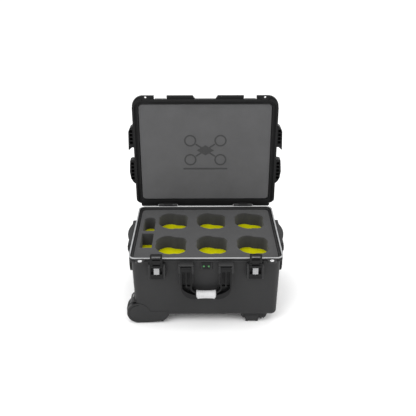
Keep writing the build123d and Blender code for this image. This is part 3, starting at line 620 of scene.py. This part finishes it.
def tray_outlines(half_x, half_y):
    """The tray's outline and its pockets."""
    drone = smooth_outline(POCKET_OUTLINE)
    outlines = [rounded_rectangle(half_x, half_y, SHEET_CORNER)]
    outlines += [shifted(drone, x, y) for y in POCKET_Y for x in POCKET_X]
    square = rounded_rectangle(SMALL_POCKET_HALF, FRONT_POCKET_HALF_Y, SMALL_POCKET_CORNER)
    outlines.append(shifted(square, SMALL_POCKET_X, FRONT_POCKET_Y))
    square = rounded_rectangle(SMALL_POCKET_HALF, BACK_POCKET_HALF_Y, SMALL_POCKET_CORNER)
    arch = shifted(ring_points(SMALL_POCKET_HALF), 0, BACK_POCKET_ARCH_Y) + shifted(square, 0, BACK_POCKET_Y)
    outlines.append(shifted(hull(arch), SMALL_POCKET_X, 0))
    return outlines


def foam_tray_piece():
    """The tray with the pockets for the drones."""
    middle, size = node_middle("foam_tray")
    half = size / 2 / MM
    outlines = tray_outlines(half.x - SHEET_GAP, half.y - SHEET_GAP)
    mesh = foam_slab(outlines, -half.z, half.z, edge=1.4, spacing=9)
    place(wandered(mesh, amount=0.4), Matrix.Translation(middle))
    piece = add_piece("tray_foam", mesh, tray_foam_painted_shade, "case", "foam_grey", "foam_tray")


def contrast_foam_piece():
    """The coloured sheet that shows at the bottom of the pockets."""
    middle, size = node_middle("foam_contrast_layer")
    half = size / 2 / MM
    outline = rounded_rectangle(half.x - SHEET_GAP, half.y - SHEET_GAP, SHEET_CORNER)
    mesh = foam_slab([outline], -half.z, half.z, edge=1, spacing=12)
    place(wandered(mesh, amount=0.3), Matrix.Translation(middle))
    piece = add_piece("contrast_foam", mesh, yellow_foam, "case", "foam_yellow", "foam_contrast_layer")


def filler_foam_piece():
    """The thick layer under the coloured one, cut away round the wheel wells."""
    middle, size = node_middle("foam_filler")
    half = size / 2 / MM
    outline = rounded_rectangle(half.x - BLOCK_GAP, half.y - BLOCK_GAP, FILLER_CORNER)
    mesh = foam_slab([outline], -half.z, half.z, edge=2, spacing=30, step=24, lean=5)
    place(mesh, Matrix.Translation(middle))
    cutters = []
    for tyre, side in (("wheel_tyre_front", -1), ("wheel_tyre_rear", 1)):
        wheel, wheel_size = node_middle(tyre)
        circle = ring_points(wheel_size.x / 2 / MM + WELL_GAP, steps=64)
        drum = filled([circle], -WELL_HALF, WELL_HALF, edge=0.2)
        stand = Matrix.Translation(wheel + Vector((0, side * WELL_SHIFT * MM, 0)))
        cutters.append(place(drum, stand @ Matrix.Rotation(math.pi / 2, 4, "X")))
    piece = add_piece("filler_foam", cut(mesh, cutters), grey_foam, "case", "foam_grey", "foam_filler")


def lid_foam_piece():
    """The lid's pad, crowned a little towards the base. Gives its place and thickness, for the sign on it."""
    middle, size = node_middle("lid_foam")
    half_x, half_z, depth = size.x / 2, size.z / 2, size.y / MM
    outline = rounded_rectangle(half_x / MM - BLOCK_GAP, half_z / MM - BLOCK_GAP, LID_PAD_CORNER)
    mesh = foam_slab([outline], 0, depth, edge=3, spacing=13, lean=1)
    wandered(mesh, amount=0.3)
    for vertex in mesh.vertices:
        if vertex.co.z > depth / 2 * MM:
            swell = (1 - (vertex.co.x / half_x) ** 4) * (1 - (vertex.co.y / half_z) ** 4)
            vertex.co.z += LID_PAD_CROWN * MM * max(swell, 0)
    stand = Matrix.Translation((middle.x, middle.y + size.y / 2, middle.z))
    stand @= Matrix.Rotation(math.pi / 2, 4, "X")
    piece = add_piece("lid_foam_pad", place(mesh, stand), grey_foam, "lid", "foam_grey", "lid_foam")
    return stand, depth


def lid_sign(stand, depth):
    """A plain sign for a four-rotor aircraft, pressed into the lid's foam."""
    face = depth + SIGN_FACE

    def add_mark(name, outlines, rise=SIGN_RISE):
        mesh = place(filled(outlines, face - SIGN_DEPTH, face + rise, SIGN_EDGE), stand)
        add_piece(name, mesh, sign_foam, "lid", "foam_grey")

    for k, (sx, sy) in enumerate(QUARTERS):
        x, y = sx * SIGN_SPREAD_X, sy * SIGN_SPREAD_Y + SIGN_UP
        rotor = [shifted(ring_points(radius), x, y) for radius in (SIGN_ROTOR, SIGN_ROTOR - SIGN_LINE)]
        add_mark(f"lid_mark_rotor_{k + 1}", rotor)
    reach = math.hypot(SIGN_SPREAD_X, SIGN_SPREAD_Y) - SIGN_ROTOR - 1
    bar = rounded_rectangle(reach, SIGN_LINE / 2, SIGN_LINE / 2 - 0.1)
    for k, slope in enumerate((1, -1)):
        turn = math.atan2(slope * SIGN_SPREAD_Y, SIGN_SPREAD_X)
        cos, sin = math.cos(turn), math.sin(turn)
        arm = [(x * cos - y * sin, x * sin + y * cos + SIGN_UP) for x, y in bar]
        add_mark(f"lid_mark_arm_{k + 1}", [arm], SIGN_RISE + 0.05 * k)
    hub = [(SIGN_HUB_X, 0), (0, SIGN_HUB_Y), (-SIGN_HUB_X, 0), (0, -SIGN_HUB_Y)]
    add_mark("lid_mark_hub", [shifted(hub, 0, SIGN_UP)], 0.4)
    add_mark("lid_mark_line", [shifted(rounded_rectangle(SIGN_BAR_HALF, 4, 3.9), 0, SIGN_BAR_Y)])


# ---- Grips ----
def grip_piece(name, node, material, body, slot_name, quarter):
    """A moulded sleeve on a handle's core: slanting flared ends, a waist and shallow finger ridges.

    It lies along x, and quarter says how many quarter turns take it to its handle."""
    middle, size = node_middle(node)
    half = max(size.x, size.y) / 2 / MM
    segments, rings = 56, 60
    work = bmesh.new()

    def ring(x, slant, across, up):
        """A squarish ring of points, its top and bottom set off along x."""
        made = []
        for k in range(segments):
            turn = math.tau * k / segments
            y = across * math.copysign(abs(math.cos(turn)) ** 0.8, math.cos(turn))
            z = up * math.copysign(abs(math.sin(turn)) ** 0.8, math.sin(turn))
            made.append(work.verts.new(((x + slant * z / up) * MM, y * MM, z * MM)))
        return made

    loops = [ring(-half, 0, GRIP_BORE, GRIP_BORE)]
    for k in range(rings + 1):
        u = 2 * k / rings - 1
        end = max(0.0, (abs(u) - GRIP_END_FROM) / GRIP_END_LENGTH)
        ridge = GRIP_RIDGE * math.cos(u * GRIP_RIDGES * math.pi) * (1 - end)
        swell = GRIP_FLARE * end - GRIP_WAIST * (1 - u * u) + ridge
        lip = GRIP_LIP * max(0.0, (abs(u) - GRIP_LIP_FROM) / GRIP_LIP_LENGTH) ** 2
        slant = math.copysign(GRIP_SLANT, u) * abs(u) ** 3
        out = swell - lip
        loops.append(ring((half - GRIP_SLANT) * u, slant, GRIP_HALF_Y + out, GRIP_HALF_Z + out))
    loops.append(ring(half, 0, GRIP_BORE, GRIP_BORE))
    join_rings(work, loops + loops[:1])
    mesh = finished(work, name)
    place(mesh, Matrix.Translation(middle) @ Matrix.Rotation(math.pi / 2 * quarter, 4, "Z"))
    add_piece(name, mesh, material, body, slot_name, node)


# ---- Latch springs ----
def latch_coil(side):
    """The coil under a latch's button, which rides with the latch's lever."""
    node = f"latch_spring_{side}"
    low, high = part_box(node)
    middle = (low + high) / 2
    steps, around = 28, 10
    count = COIL_TURNS * steps
    radius = (high.x - low.x) / 2 - COIL_WIRE
    rise = high.z - low.z - 2 * COIL_WIRE
    work = bmesh.new()
    rings = []
    for k in range(count + 1):
        turn = math.tau * k / steps
        outwards = Vector((math.cos(turn), math.sin(turn), 0))
        height = low.z + COIL_WIRE + rise * k / count
        centre = Vector((middle.x, middle.y, height)) + outwards * radius
        ring = []
        for j in range(around):
            spin = math.tau * j / around
            across = outwards * math.cos(spin) + Vector((0, 0, math.sin(spin)))
            ring.append(work.verts.new(centre + across * COIL_WIRE))
        rings.append(ring)
    join_rings(work, rings)
    work.faces.new(rings[0])
    work.faces.new(rings[-1])
    mesh = finished(work, "latch_coil")
    piece = add_piece(f"latch_coil_{side}", mesh, pin_steel, f"latch_lever_{side}", "steel", node)
    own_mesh(piece)


# ---- Studio ----
def floor():
    mesh = bpy.data.meshes.new("floor")
    work = bmesh.new()
    bmesh.ops.create_circle(work, cap_ends=True, segments=96, radius=FLOOR_RADIUS)
    work.to_mesh(mesh)
    work.free()
    made = add_object("floor", mesh)
    made.location.z = cad_low.z
    paper = Finish("floor_paper", PAPER, 0.8)
    paper.bumps((paper.noise(300), 0.05 * MM, 0.1))
    mesh.materials.append(paper.material)


def softbox(name, stand, side, power):
    """A square area light that faces the case."""
    data = bpy.data.lights.new(name, "AREA")
    data.shape = "RECTANGLE"
    data.size, data.size_y, data.energy = side, side, power
    light = add_object(name, data)
    light.location = stand
    light.rotation_euler = (Vector(AIM) - Vector(stand)).to_track_quat("-Z", "Y").to_euler()


def studio():
    """White surroundings, and three soft lights."""
    world = bpy.data.worlds.new("studio")
    world.use_nodes = True
    background = world.node_tree.nodes["Background"]
    background.inputs["Color"].default_value = (1, 1, 1, 1)
    background.inputs["Strength"].default_value = WORLD_STRENGTH
    bpy.context.scene.world = world
    bpy.context.scene.view_settings.view_transform = "Standard"
    for box in SOFTBOXES:
        softbox(*box)


def camera():
    data = bpy.data.cameras.new("camera")
    data.lens, data.sensor_width = CAMERA_LENS, CAMERA_SENSOR
    made = add_object("camera", data)
    made.location = CAMERA_PLACE
    made.rotation_euler = (math.radians(90 - CAMERA_DOWN), 0, math.radians(CAMERA_TURN))
    bpy.context.scene.camera = made


camera()
studio()
floor()
finish_nodes()
foam_tray_piece()
contrast_foam_piece()
filler_foam_piece()
lid_sign(*lid_foam_piece())
grip_piece("front_grip", "front_handle_grip", grip_rubber, "front_handle", "grip_light", quarter=0)
grip_piece("right_grip", "right_handle_grip", dark_rubber, "right_handle", "grip_dark", quarter=1)
grip_piece("left_grip", "left_handle_grip", dark_rubber, "left_handle", "grip_dark", quarter=3)
latch_coil("right")
latch_coil("left")
